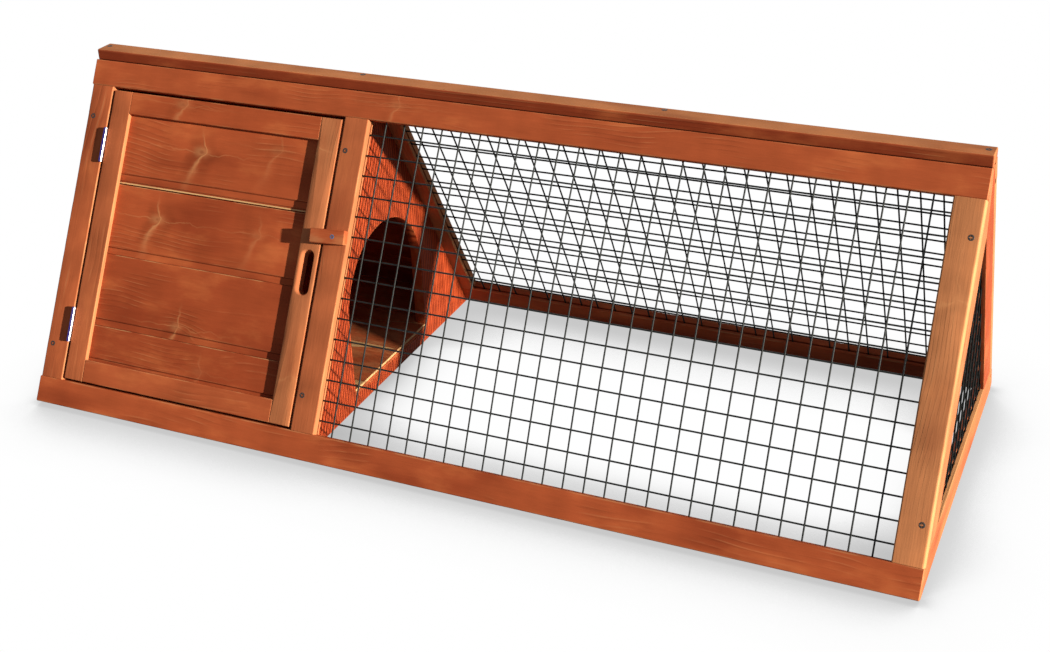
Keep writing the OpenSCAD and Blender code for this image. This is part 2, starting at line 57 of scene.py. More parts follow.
# %% Sizes in millimetres, and the way from a panel to the world
RUN = 1153.0  # length of the run
SLOPE = 458.5  # height of a side panel, up the slope
LEAN = math.radians(60.5)
SIN, COS, TAN = math.sin(LEAN), math.cos(LEAN), math.tan(LEAN)
THICK, BOARD = 15.0, 8.0  # thickness of battens and of boards
RAIL, POST, ENDS, DOOR = 34.0, 33.0, 42.0, 29.0  # widths of the battens, by their place
FOOT = THICK * COS - 1  # height of a panel's outer lower edge, 1 being planed off below
HALF = SLOPE * COS + THICK / SIN + 0.5  # distance of that edge from the run's middle
TOP = SLOPE - RAIL  # where the posts end under the top rail
FRONT_POST, BACK_POST = 383.6, 389.0  # where the middle posts begin
POST_IN = 1.5  # how far the outer posts stand inside the run's ends
LAST_POST = RUN - POST_IN - POST  # where the right posts begin
MESH_IN = 10.0  # depth of the wires below a panel's face
END_MESH_IN = 6.0  # and below the face of the right end
SHEET = (388.0, 403.0)  # the partition's two faces
DEN = (THICK + BOARD + 0.2, SHEET[0] - 0.2)  # clear length of the den
TURN = 6.283  # a full turn in radians, near enough for waves


def on_front(p):
    """(u, v, w) in mm on the front panel to metres: a step v goes back and up, a step w out and up."""
    u, v, w = p[..., 0], p[..., 1], p[..., 2]
    return np.stack([u - RUN / 2, -HALF + COS * v - SIN * w, FOOT + SIN * v + COS * w], -1) / 1000


def on_back(p):
    """The same on the back panel, which mirrors the front one in y."""
    return on_front(p) * (1, -1, 1)


def upright(p):
    """(distance from the left end, y, height) in mm to metres."""
    return (p - (RUN / 2, 0, 0)) / 1000


def inner_y(z):
    """Half the clear width between the two panels' inner faces at height z, in mm."""
    return HALF - THICK / SIN - (z - FOOT) / TAN


def cross(a, b):
    """a x b for flat vectors: positive where b lies to the left of a."""
    return a[..., 0] * b[..., 1] - a[..., 1] * b[..., 0]


print("clear width on the ground:", round(2 * inner_y(0)), "mm")

# %% [markdown]
# ## Round corners
# No planed batten has a knife-sharp corner: the planer and the sandpaper leave an arc of one to
# two millimetres, and that arc is what catches the light. We could model a sharp block and add
# a Bevel modifier. Here we work the outline out ourselves, because then we also know which
# points lie on an arc, and can show the stain worn thin there.

# %% Outline with round corners
PER_CORNER = 7  # points of one corner: five on its arc and one on either side


def outline(corners, radius=1.3):
    """A polygon whose corners are arcs. Returns points, outward normals and a corner mask,
    which is 1 on a proud corner, where stain wears off, and -1 in a hollow one, where stain pools;
    there the wood's shader paints a near black line, which is also painted shade for the hollow.

    At a corner with half-angle h, an arc of radius r touches both edges at r / tan(h) from
    the corner, and its middle lies on the bisector at r / sin(h). Its normals turn evenly
    from one edge's normal to the next one's. One extra point on each side, a little away
    from the arc, keeps the flat edge flat when it is shaded. A third number in a corner is
    its own radius.
    """
    c = np.array([k[:2] for k in corners], float)
    r = np.array([k[2] if len(k) > 2 else radius for k in corners], float)
    if cross(c, np.roll(c, -1, 0)).sum() < 0:
        c, r = c[::-1], r[::-1]
    a, b = np.roll(c, 1, 0) - c, np.roll(c, -1, 0) - c
    la, lb = np.linalg.norm(a, axis=1), np.linalg.norm(b, axis=1)
    a, b = a / la[:, None], b / lb[:, None]
    half = np.arccos(np.clip(np.sum(a * b, 1), -1, 1)) / 2
    r = np.minimum(r, 0.45 * np.minimum(la, lb) * np.tan(half))
    turn = np.where(cross(b, a) > 0, 1.0, -1.0)
    mid = c + (a + b) / np.linalg.norm(a + b, axis=1)[:, None] * (r / np.sin(half))[:, None]
    na = np.stack([-a[:, 1], a[:, 0]], 1)
    nb = np.stack([b[:, 1], -b[:, 0]], 1)
    w = (np.pi - 2 * half)[:, None, None]
    s = np.linspace(0, 1, PER_CORNER - 2)[None, :, None]
    n = np.sin((1 - s) * w) * na[:, None] + np.sin(s * w) * nb[:, None]
    n /= np.linalg.norm(n, axis=2, keepdims=True)
    arc = mid[:, None] + n * (r * turn)[:, None, None]
    lead = (np.where(turn > 0, 0.25, 0.9) * np.minimum(1.2, 0.4 * np.minimum(la, lb)))[:, None, None]
    points = np.concatenate([arc[:, :1] + lead * a[:, None], arc, arc[:, -1:] + lead * b[:, None]], 1)
    normals = np.concatenate([n[:, :1], n, n[:, -1:]], 1)
    mask = np.tile([0, 0.4, 1, 1, 1, 0.4, 0.0], (len(c), 1)) * turn[:, None]
    return points.reshape(-1, 2), normals.reshape(-1, 2), mask.reshape(-1)


def oblong(x0, x1, y0, y1):
    """The four corners of a rectangle."""
    return [(x0, y0), (x1, y0), (x1, y1), (x0, y1)]


print("a square of four corners becomes", len(outline(oblong(0, 9, 0, 9))[0]), "points")

# %% [markdown]
# ## From loops to a surface
# Most of the run's pieces are an outline carried along a line: battens, boards, even the
# panel with the doorway, whose outline is carried round its thickness. So one helper that
# joins equal loops with quads makes them all. It also stores two things for the finish: the
# place of each point in the timber, and how it was stained.

# %% Loops joined into a mesh
def put(name, data):
    """A new object in the scene."""
    thing = bpy.data.objects.new(name, data)
    bpy.context.scene.collection.objects.link(thing)
    return thing


def build(name, loops, timber=None, stain=None, closed=False, sharp=40, knots=()):
    """Mesh from m loops of n points: point j of loop i joins point j+1, and loop i+1.

    With closed, the last loop joins the first. Otherwise both ends get a flat cap. The sum
    of p0 . (p1 x p2) over the faces is six times the volume: where it comes out negative, the
    faces point inwards and are turned round. A fourth axis in front holds copies, such as the
    wires of a net.
    """
    loops = loops if loops.ndim == 4 else loops[None]
    copies, m, n = loops.shape[:3]
    i, j = np.meshgrid(np.arange(m if closed else m - 1), np.arange(n), indexing="ij")
    k, l = (j + 1) % n, (i + 1) % m
    quads = np.stack([i * n + j, i * n + k, l * n + k, l * n + j], -1).reshape(-1, 4)
    flat = loops.reshape(copies, -1, 3)
    q = (flat - flat.mean(1, keepdims=True))[:, quads]
    volume = np.sum(q[:, :, 0] * (np.cross(q[:, :, 1], q[:, :, 2]) + np.cross(q[:, :, 2], q[:, :, 3])))
    faces = (quads + np.arange(copies)[:, None, None] * m * n).reshape(-1, 4).tolist()
    if not closed:
        for first in range(0, copies * m * n, m * n):
            faces += [list(range(first, first + n))[::-1], list(range(first + (m - 1) * n, first + m * n))]
    if volume < 0:
        faces = [f[::-1] for f in faces]
    mesh = bpy.data.meshes.new(name)
    mesh.from_pydata(flat.reshape(-1, 3).tolist(), [], faces)
    mesh.polygons.foreach_set("use_smooth", np.ones(len(faces), bool))
    mesh.set_sharp_from_angle(angle=math.radians(sharp))
    marks = {"timber": timber, "stain": stain}
    for label, place in zip(("knot one", "knot two"), knots):
        marks[label] = np.tile(place, (copies * m * n, 1))
    for label, values in marks.items():
        if values is not None:
            mesh.attributes.new(label, "FLOAT_VECTOR", "POINT").data.foreach_set(
                "vector", np.ascontiguousarray(values, np.float32).reshape(-1))
    mesh.validate()
    return put(name, mesh)


waiting = {}  # pieces that wait for each finish


def settle(piece, node, finish, body="run"):
    """The piece moves with a body, stands for a node of the model, and waits for its finish."""
    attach(piece, body)
    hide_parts(node)
    waiting.setdefault(finish, []).append(piece)


def seed_of(name):
    """A steady number from 0 to 100 for each name, so that no two boards share their grain."""
    return sum((i + 3) * ord(ch) * 0.731 for i, ch in enumerate(name)) % 100


print("example seed:", round(seed_of("front_top_rail"), 2))

# %% [markdown]
# ## A length of planed timber
# A batten is a batten all the way along, so it is its outline carried from end to end. Two
# things keep it from looking like plastic: its ends are cut and lightly sanded, and its long
# corners wander by a few tenths of a millimetre where the plane slipped or the wood chipped.

# %% Batten or board from an outline
def wander(x, seed, size):
    """Smooth wear along x: a sum of three sine waves with odd lengths, squared, so that most
    of the corner is full and only some places are worn."""
    k = np.array([0.013, 0.031, 0.083]) * (1 + 0.1 * math.sin(seed))
    f = np.sin(x[..., None] * k * TURN + np.array([1.0, 2.3, 4.1]) * seed).sum(-1) / 3
    return size * np.clip(0.35 + 0.65 * f, 0, 1) ** 2


def timber(node, shape, start, end, place, order=(0, 1, 2), grain=None, tone=0.0, body="run",
           end_round=0.7, step=14.0, worn=0.35, raw=None, knots=(), sides=0.0, ends=0.8):
    """Carries the outline `shape` from start to end, and settles the piece for its node.

    Loop i lies at distance s, with the outline drawn in by d: near an end, s = r (1 - cos t) and
    d = r (1 - sin t) for t from 0 to 90 degrees, which rounds the end. One more loop on either
    side of that arc, 0.25 away, keeps the end and the long faces flat when they are shaded.
    start and end may differ from point to point of the outline, for ends cut at a slant.
    `order` says which of the place's axes are the run of the piece and its two outline axes, and
    the rows of `grain` are the directions along, across and through the timber. Where `raw`
    holds for a point, the timber never got its stain. `knots` are (along, across, strength) in
    mm, at most two of them. The tone runs from -0.5, deep brown, over 0, rust, and 1, tan, to 2,
    pale, and may differ from point to point of the outline. Sawn ends and narrow sides get
    painted light: `ends` and `sides` are added to the tone there, paler where they are positive,
    deeper where negative.
    """
    p, normal, mask = shape
    seed = seed_of("run_" + node)
    start, end = np.broadcast_to(start, len(p)), np.broadcast_to(end, len(p))
    t = np.radians([0, 0, 30, 60, 90, 90])
    s_end = (end_round * (1 - np.cos(t)) + [0, 0, 0, 0, 0, 0.25])[:, None]
    d_end = end_round * (1 - np.sin(t)) + [0.25, 0, 0, 0, 0, 0]
    share = np.linspace(0, 1, max(3, int(np.max(end - start) / step) + 2))[1:-1, None]
    s = np.concatenate([start + s_end, start + share * (end - start), end - s_end[::-1]])
    d = np.concatenate([d_end, 0 * share[:, 0], d_end[::-1]])
    corner = np.arange(len(p)) // PER_CORNER
    wear = wander(s + 31 * corner, seed, worn) * np.clip(mask, 0, 1)
    q = p - normal * (d[:, None] + wear)[..., None]
    points = np.empty(q.shape[:2] + (3,))
    points[..., list(order)] = np.concatenate([s[..., None], q], -1)
    lie = points @ np.array(grain if grain is not None else np.eye(3)[list(order)], float).T / 1000
    edge = np.where((d > 0.05)[:, None], np.maximum(mask, 0.6), mask)
    # Painted light and shade: narrow sides and sawn ends get their own tone, paler where `sides` or `ends`
    # is positive, deeper where negative.
    shade = tone + sides * np.broadcast_to(np.abs(normal[:, 0]) > 0.6, edge.shape)
    shade[:3] += ends
    shade[-3:] += ends
    if raw is not None:
        shade[raw(points)] = -1
    stain = np.stack([shade, edge, np.full(edge.shape, seed)], -1)
    settle(build("run_" + node, place(points), lie, stain, knots=knots), node, "pine", body)


def groove(a, step, middle=-MESH_IN, half=1.3, r=0.3):
    """Saw groove that holds a net, 8 deep in the edge at a: a high edge for step 1, a low one for -1."""
    lo, hi = middle - half, middle + half
    g = [(a, hi, r), (a - 8 * step, hi, r), (a - 8 * step, lo, r), (a, lo, r)]
    return g if step > 0 else g[::-1]


def batten(width, at=0.0, low=False, high=False):
    """Section of a batten, 15 thick, with a groove in its low or high edge."""
    pts = [(at, 0), (at + width, 0)] + (groove(at + width, 1) if high else [])
    pts += [(at + width, -THICK), (at, -THICK)] + (groove(at, -1) if low else [])
    return outline(pts, 1.6)


print("a grooved batten's section has", len(batten(RAIL, high=True)[0]), "points")

# %% [markdown]
# ## The side panels
# Each side panel is a frame: two long rails with three posts between them. The rails' lowest
# corner is planed level, so that the frame stands flat on the grass though it leans. The right
# posts end flush with the end frame, and the joint under the ridge board is painted near black,
# for the shade there.

# %% Rails and posts of both panels
sole = outline([(0, 0), (RAIL, 0)] + groove(RAIL, 1) +
               [(RAIL, -THICK), (1 / SIN, -THICK, 0.3), (0, -THICK + 1 / COS, 0.3)], 1.6)
p, normal, mask = batten(RAIL, TOP, low=True)
# Painted shade: the top rail's upper edge is marked as a hollow corner, so it turns near black under the
# ridge board.
upper = p, normal, np.where((p[:, 0] > SLOPE - 2) & (normal[:, 0] > 0.4), -1.0, mask)
corners = [(LAST_POST, 0), (RUN - 0.1, 0, 2.4), (RUN - 0.1, -THICK, 0.2), (LAST_POST, -THICK)]
p, normal, mask = outline(corners + groove(LAST_POST, -1), 1.6)
flush = p, normal, np.where(p[:, 1] < 1 - THICK, 0.0, mask)
tones = {"front_bottom_rail": 0.04, "front_top_rail": 0.06, "back_bottom_rail": 0.0, "back_top_rail": 0.1,
         "front_left_post": 0.25, "front_mid_post": 0.45, "front_right_post": 1.2}
panel_knots = {"front_top_rail": [(452, 446, 0.4)], "front_right_post": [(315, 1139, 0.45)]}
for side, place, mid in (("front", on_front, FRONT_POST), ("back", on_back, BACK_POST)):
    for part, shape in (("bottom_rail", sole), ("top_rail", upper)):
        node = f"{side}_{part}"
        timber(node, shape, 0, RUN, place, tone=tones[node], knots=panel_knots.get(node, []))
    for part, shape in (("left_post", batten(POST, POST_IN)), ("mid_post", batten(POST, mid, high=True)),
                        ("right_post", flush)):
        node = f"{side}_{part}"
        timber(node, shape, RAIL, TOP, place, order=(1, 0, 2), end_round=0.4, tone=tones.get(node, 0.6),
               sides=0.6, knots=panel_knots.get(node, []))
print("battens in the side panels:", len(waiting["pine"]))

# %% [markdown]
# ## The ridge board
# The two top rails are square-cut, so they meet in a shallow V. A narrow board lies in that V
# and covers it. It is the piece that every hand grips, so its corners are rounder.

# %% Ridge board
CAP_W, CAP_T = 28.0, 14.6
CAP_Z = FOOT + SLOPE * SIN - (HALF - SLOPE * COS - CAP_W / 2 + 1.2) / TAN + 0.1
CAP_TOP = CAP_Z + CAP_T
p, normal, mask = outline(oblong(-CAP_W / 2, CAP_W / 2, CAP_Z, CAP_TOP), 2.0)
# Painted shade: the ridge board's lower corners go near black where it meets the rails.
painted_joint_shade = np.where(p[:, 1] < CAP_Z + 3, -mask, 0.2 * mask)
# Painted light and shade: the top gets a pale tone and the two long faces a deep one, for the sky light on
# top.
timber("ridge_board", (p, normal, painted_joint_shade), 0, RUN, upright, tone=1.2, sides=-1.5, end_round=1.2, ends=0.0)
print("top of the ridge board:", round(CAP_TOP, 1), "mm")

# %% [markdown]
# ## The end frames
# At both ends a triangle of wider battens ties the panels together: a rail on the ground and
# two stiles that lean with the panels and meet under the ridge. Their ends are cut at a slant,
# so start and end of each batten depend on where in its width a point lies.

# %% End rails and stiles
APEX = CAP_Z - 0.5
OUTER = -THICK - 0.2  # the stiles lie close behind the panels' inner faces
INNER = OUTER - ENDS
tones = {"right_end_front_stile": 0.95, "right_end_back_stile": -0.2, "right_end_rail": 0.7}
for side, u0 in (("right", RUN - THICK), ("left", 0.0)):
    u1 = u0 + THICK
    cut = u1 - END_MESH_IN  # middle of the mesh groove, at the right end
    grooved = side == "right"
    saw = groove(INNER, -1, cut, 1, 0.2) * grooved
    p, normal, mask = outline([(OUTER, u0), (INNER, u0)] + saw + [(INNER, u1), (OUTER, u1)], 0.6)
    stile = p, normal, np.where(p[:, 0] > -17, 0.0, mask)
    foot = (ENDS - FOOT - COS * p[:, 0]) / SIN
    head = np.minimum((HALF - 0.1 + SIN * p[:, 0]) / COS, (APEX - FOOT - COS * p[:, 0]) / SIN)
    for face, place in (("front", on_front), ("back", on_back)):
        node = f"{side}_end_{face}_stile"
        timber(node, stile, foot, head, place, order=(1, 2, 0), end_round=0.3, worn=0.15,
               tone=tones.get(node, 0.4), sides=0.3)
    saw = groove(ENDS, 1, cut, 1, 0.2) * grooved
    shape = outline([(0, u0, 0.5), (0, u1, 0.5), (ENDS, u1, 0.6)] + saw + [(ENDS, u0)], 1.2)
    p, normal, mask = shape
    reach = inner_y(p[:, 0]) - 0.2
    node = f"{side}_end_rail"
    level = np.where(p[:, 1] > cut, 1.8, -0.4)  # painted light and shade on the top face: pale outside the mesh, deep inside it
    timber(node, shape, -reach, reach, upright, order=(1, 2, 0), end_round=0.3, worn=0.15,
           tone=np.where(normal[:, 0] > 0.6, level, tones.get(node, 0.4)))
print("battens so far:", len(waiting["pine"]))

# %% [markdown]
# ## Tongued and grooved boards
# The den is closed with shiplap: each board has a tongue along its lower edge, which sits in
# the next board's groove, and a sunk strip above the tongue. The fine dark line at each joint
# is the strip's own shadow, deepened by painted shade in its hollow corner. The boards are
# stained once they are up, so a tongue that shows where two boards have moved apart is still
# pale, bare wood.

# %% Board section, and the boards of the door
COVER = 94.0  # height that one board covers
RECESS = 5.8  # the boards' faces below the face of the door's frame
REBATE = 5.0  # how far the boards reach into the door's frame


def board(low, high, tongue=True, top_groove=True, face=0.0):
    """Section of a board from its lower edge to its upper edge, with its face at `face`."""
    pts = [(low, -1.5, .4), (low + 8.5, -1.5, .6), (low + 10, 0, .8), (high, 0, 1.6)]
    if top_groove:
        pts += [(high, -2.3, .3), (high - 4.4, -2.3, .3), (high - 4.4, -5.7, .3), (high, -5.7, .3)]
    pts += [(high, -BOARD, .4), (low, -BOARD, .4)]
    if tongue:
        pts += [(low, -5.5, .3), (low - 4, -5.5, .6), (low - 4, -2.5, .6), (low, -2.5, .3)]
    p, normal, mask = outline([(v, w + face, r) for v, w, r in pts])
    # Wear and painted highlight: the top arris of each board wears 1.9 times as much, which also stands for
    # the light it catches at the joint.
    return p, normal, mask * np.where((p[:, 0] > high - 2) & (p[:, 1] > face - 2), 1.9, 1)


DOOR_U, DOOR_V = (37.5, FRONT_POST - 3), (RAIL + 3, TOP - 4)  # the door from side to side, and up
IN_U = DOOR_U[0] + DOOR, DOOR_U[1] - DOOR  # between its stiles
open_gap, door_top, door_low = 5.2, DOOR_V[1] - DOOR + REBATE, DOOR_V[0] + DOOR - REBATE
joints = [door_top - i * (COVER + 0.5) for i in range(4)] + [door_low]
door_tones = (0.02, 0.0, -0.14, -0.18)
door_knots = [[(183, 356, 1.0), (294, 371, 0.3)], [(134, 262, 1.0), (286, 262, 0.35)],
              [(192, 130, 0.8)], [(236, 80, 0.25)]]
for i in range(4):
    low = joints[i + 1] + (open_gap / 2 if i == 0 else 0)
    high = joints[i] - (open_gap / 2 if i == 1 else 0.2)
    shape = board(low, high, i < 3, i > 0, face=-RECESS)
    timber(f"door_board_{i + 1}", shape, IN_U[0] - REBATE, IN_U[1] + REBATE, on_front, end_round=0.3,
           tone=door_tones[i], raw=lambda p: (p[..., 1] < low - 1.3) & (p[..., 1] > low - 3.7),
           knots=door_knots[i], body="door")
print("boards in the door:", len(door_knots))

# %% [markdown]
# ## The den's other boards
# The same boards close the den's back, up the slope, and its left end, where they lie inside
# the end frame and are cut to its slant. Their inner faces get a much darker tone: painted shade
# for the dark inside the den.

# %% Boards of the back and of the left end
DEN_SHADE_TONE = -0.45  # painted shade: a deep tone for the inner faces, in the dark inside the den
for i in range(5):
    low, high = 8 + i * COVER, min(436, 8 + (i + 1) * COVER) - 0.2
    shape = board(low, high, i > 0, i < 4, face=-THICK)
    timber(f"back_board_{i + 1}", shape, *DEN, on_back, end_round=0.3, ends=0,
           tone=np.where(shape[1][:, 1] < -0.5, DEN_SHADE_TONE, 0.1 * (i % 2)))
for i in range(4):
    low = 2 + i * COVER
    p, normal, mask = board(low, low + COVER - 0.2, i > 0, i < 3)
    p, normal = p * (1, -1) + (0, THICK), normal * (1, -1)
    reach = inner_y(p[:, 0]) - 0.25
    timber(f"left_end_board_{i + 1}", (p, normal, mask), -reach, reach, upright, order=(1, 2, 0),
           end_round=0.2, ends=0, tone=np.where(normal[:, 1] > 0.5, DEN_SHADE_TONE, 0.1))
print("boards and battens:", len(waiting["pine"]))

# %% [markdown]
# ## The den's floor
# Rabbits don't sleep on wet grass, so the den has a floor of plain boards on two bearers. The
# middle boards reach through the doorway and end flush with the partition's far face, where
# they make its sill.

# %% Floor boards and bearers
FLOOR = (18.0, 26.0)  # underside and top of the floor
ARCH = 98.0  # half the doorway's width, and the radius of its arch
floor_low = -inner_y(FLOOR[1]) + 0.2
floor_high = inner_y(FLOOR[1]) - BOARD / SIN - 0.2
(x0, x1), x2 = DEN, SHEET[1]
for i in range(5):
    y0, y1 = max(floor_low, 20 + (i - 3) * COVER) + 0.3, min(floor_high, 20 + (i - 2) * COVER) - 0.3
    t0, t1 = max(y0, 0.2 - ARCH), min(y1, ARCH - 0.2)
    if 0 < i < 4:
        pts = [(x1, y0), (x1, t0, .2)] if t0 > y0 else []
        pts += [(x2, t0), (x2, t1)]
        pts += [(x1, t1, .2), (x1, y1)] if t1 < y1 else []
    else:
        pts = [(x1, y0), (x1, y1)]
    shape = outline([(x0, y0)] + pts + [(x0, y1)], 0.9)
    timber(f"floor_board_{i + 1}", shape, *FLOOR, upright, order=(2, 0, 1), end_round=0.9, worn=0.1,
           grain=np.eye(3), tone=0.1, ends=0, raw=lambda p: (p[..., 0] > x2 - 1) & (p[..., 2] > 22.5))
for side, x in (("left", x0), ("right", x1 - 20)):
    timber(f"{side}_floor_bearer", outline(oblong(x, x + 20, 0, FLOOR[0]), 0.8), floor_low, floor_high,
           upright, order=(1, 0, 2), tone=0.2)
print("den floor from y =", round(floor_low), "to", round(floor_high), "mm")

# %% [markdown]
# ## The partition and its doorway
# The partition is one sheet with a doorway sawn out of it. Seen from above the hole, any ray
# from its middle meets the hole's edge once and the sheet's edge once, so the surface is a
# band between two closed lines, carried round the sheet's thickness like the skin of a ring.

# %% A plate with one hole
def ray_hit(corners, middle, angle):
    """How far a ray from the middle runs until it meets a closed outline of straight edges.

    Edge i runs from a to b. The ray m + t d meets it at t = (a - m) x (b - a) / d x (b - a), and
    the edge that counts is the one whose share of the way from a to b is between 0 and 1.
    """
    a = np.asarray(corners, float)
    e = np.roll(a, -1, 0) - a
    d = np.stack([np.cos(angle), np.sin(angle)], -1)[:, None]
    a = a - middle
    across = cross(d, e)
    across = np.where(np.abs(across) < 1e-9, 1e-9, across)
    t, s = cross(a, e) / across, cross(a, d) / across
    return np.min(np.where((s > -1e-6) & (s < 1 + 1e-6) & (t > 0), t, np.inf), 1)


def inset(corners, d):
    """A convex outline with each edge moved inwards by d, or outwards where d is negative.

    A corner between edges with inward normals n and m moves by d (n + m) / (1 + n . m).
    """
    c = np.array(corners, float)
    e = np.roll(c, -1, 0) - c
    n = np.stack([-e[:, 1], e[:, 0]], 1) / np.linalg.norm(e, axis=1)[:, None]
    m = np.roll(n, 1, 0)
    return c + d * (n + m) / (1 + np.sum(n * m, 1))[:, None]


def spokes_for(middle, *outlines, every=14.0):
    """Ray angles through all corners, a hair to both sides of each, and through points along the edges."""
    angles = [np.arange(-math.pi, math.pi, 0.15)]
    for c in map(np.array, outlines):
        e = np.roll(c, -1, 0) - c
        for a, b in zip(c, e):
            s = np.arange(0, 1, min(1, every / np.linalg.norm(b)))[:, None]
            p = a + s * b - middle
            angles.append(np.arctan2(p[:, 1], p[:, 0]))
        p = c - middle
        angles += [np.arctan2(p[:, 1], p[:, 0]) + h for h in (-0.001, 0.001)]
    a = np.sort((np.concatenate(angles) + math.pi) % (2 * math.pi) - math.pi)
    return a[np.concatenate([[True], np.diff(a) > 4e-4])]


def holed(name, steps, middle, spokes, place, order, grain, tone, knots=()):
    """Plate with a hole. Each step of the way round its thickness is (outline, depth, wear).

    Every outline is sampled on the same rays from the middle, so the loops match point for
    point, and the skin from the hole's edge over the face, the outer edge and the back
    returns to where it began. The edge's wear wanders along the second outline axis. Between
    the face and the back, the sawn walls are a little deeper in tone. `knots` are those of
    a batten.
    """
    d = np.stack([np.cos(spokes), np.sin(spokes)], -1)
    seed = seed_of(name)
    depths = np.array([s[1] for s in steps])
    loops = []
    for corners, depth, worn in steps:
        p = middle + d * ray_hit(corners, middle, spokes)[:, None]
        away = np.sign(depth - np.mean(depths))
        loops.append(np.column_stack([depth - away * worn * wander(p[:, 1], seed, 0.35), p]))
    points = np.empty((len(loops), len(spokes), 3))
    points[..., list(order)] = np.array(loops)
    edge = np.repeat(np.array([[s[2]] for s in steps], float), len(spokes), 1)
    below = depths.max() - depths
    walls = np.where((below > 0.1) & (below < THICK - 0.1), tone - 0.1, tone)[:, None]
    stain = np.stack([np.broadcast_to(walls, edge.shape), edge, np.full(edge.shape, seed)], -1)
    lie = points @ np.array(grain, float).T / 1000
    return build(name, place(points), lie, stain, closed=True, knots=knots)


foot, tip = inner_y(0) - 0.2, inner_y(APEX) - 0.2
sheet = [(-foot, 0), (foot, 0), (tip, APEX), (-tip, APEX)]
SPRING = 123.0  # height at which the arch begins
turn = np.radians(np.linspace(0, 180, 49))[1:-1]
arch = np.stack([ARCH * np.cos(turn), SPRING + ARCH * np.sin(turn)], 1).tolist()
doorway = [(-ARCH, FLOOR[0]), (ARCH, FLOOR[0]), (ARCH, SPRING)] + arch + [(-ARCH, SPRING)]
middle = np.array((0.0, 120.0))
half = [(doorway, .9, .6), (inset(doorway, -.3), .25, 1), (inset(doorway, -.9), 0, .4),
        (inset(doorway, -2), 0, 0), (inset(sheet, 2), 0, 0), (inset(sheet, .6), 0, .4), (sheet, .6, 0)]
steps = [(line, SHEET[1] - deep, worn) for line, deep, worn in half]
steps += [(line, SHEET[0] + deep, worn) for line, deep, worn in half[::-1]]
plate = holed("run_partition", steps, middle, spokes_for(middle, sheet, doorway), upright, (0, 1, 2),
              [(0, 0, 1), (0, 1, 0), (1, 0, 0)], 0.2)
settle(plate, "partition", "veneer")
print("faces in the partition:", len(plate.data.polygons))

# %% [markdown]
# ## The door's frame
# The door is a frame of four battens. Their inner edges are rebated, so that the boards lie
# about 6 mm behind the face. The right stile has a finger slot: two drilled holes with the wood
# between them sawn out, and its edge eased with a file, most of all where the fingers pull. It
# is a plate with a hole again, only narrower at the back than in front.

# %% Stiles and rails of the door
STEP = REBATE + 0.2  # width of the rebate
BORE = 7.5  # radius of the finger slot's ends


def rebated(outer, inner):
    """Section of a door batten: its inner edge steps back at the depth of the boards."""
    back = inner - STEP * np.sign(inner - outer)
    return outline([(outer, 0), (inner, 0), (inner, -RECESS, .4), (back, -RECESS, .3), (back, -THICK, .5),
                    (outer, -THICK)], 1.2)


timber("door_hinge_stile", rebated(DOOR_U[0], IN_U[0]), *DOOR_V, on_front, order=(1, 0, 2), tone=0.4,
       sides=0.7, body="door")
for part, outer, inner, tone, knots in (("top", DOOR_V[1], DOOR_V[1] - DOOR, -0.02, [(147, 413, 0.6)]),
                                        ("bottom", DOOR_V[0], DOOR_V[0] + DOOR, 0.12, [])):
    timber(f"door_{part}_rail", rebated(outer, inner), *IN_U, on_front, end_round=0.3, tone=tone,
           knots=knots, body="door")

middle = np.array((DOOR_U[1] - DOOR / 2, 227.3))
turn = np.linspace(-math.pi / 2, math.pi / 2, 13)
half_slot = np.stack([-BORE * np.sin(turn), 20 + BORE * np.cos(turn)], 1)
slot = np.concatenate([half_slot, -half_slot]) + middle
front = oblong(IN_U[1], DOOR_U[1], *DOOR_V)
rear = [(u + (STEP if u < middle[0] else 0), v) for u, v in front]


def eased(d):
    """The slot's outline moved outwards by d, and by twice as much on the hinge side."""
    p = inset(slot, -d)
    p[:, 0] -= d * np.clip((middle[0] - p[:, 0]) / BORE, 0, 1)
    return p


steps = [(slot, -5, .1), (eased(.24), -2.5, .2), (eased(.9), -.7, .3), (eased(1.4), -.2, .3),
         (eased(1.8), 0, .1), (eased(1.95), 0, 0), (inset(front, 1.1), 0, .2), (inset(front, .35), -.35, .8),
         (front, -1.1, .3), (front, .2 - RECESS, 0), (front, -RECESS, 0), (rear, -RECESS, 0),
         (rear, -RECESS - .2, 0), (rear, .6 - THICK, 0), (inset(rear, .6), -THICK, .4),
         (inset(slot, -1.5), -THICK, 0), (inset(slot, -.6), -THICK, .5), (slot, .6 - THICK, .5)]
plate = holed("run_door_lock_stile", steps, middle, spokes_for(middle, slot, front, rear), on_front,
              (2, 0, 1), [(0, 1, 0), (1, 0, 0), (0, 0, 1)], 0.8, [(378, 350, 0.6), (94, 372, 0.3)])
settle(plate, "door_lock_stile", "pine", "door")
print("faces in the lock stile:", len(plate.data.polygons))

# %% [markdown]
# ## The turn button
# A short piece of batten on one screw keeps the door shut. A hand turns it every day, so its
# corners are well rounded. It hangs a few degrees off the panel's level line.

# %% Turn button
BUTTON = np.array((FRONT_POST + POST / 2, 275.8))  # where its screw goes in
BUTTON_W = 0.6, 9.6  # its back and its face, above the panel
sag = math.radians(4)
axis, side = np.array((math.cos(sag), math.sin(sag))), np.array((-math.sin(sag), math.cos(sag)))
corners = [BUTTON + a * axis + b * side for a, b in oblong(-32, 17, -9, 9)]
timber("turn_button", outline([tuple(c) for c in corners], 1.6), *BUTTON_W, on_front, order=(2, 0, 1),
       end_round=1.4, step=4, grain=[(*axis, 0), (*side, 0), (0, 0, 1)], tone=0.05, ends=0,
       body="turn_button")
print("the button's long end reaches", round(DOOR_U[1] - corners[0][0], 1), "mm over the door")

# %% [markdown]
# ## Screws
# All screws are countersunk cross-head screws. Only their heads show: a flat disc, a hair
# proud of the wood, with the cross pressed into it.

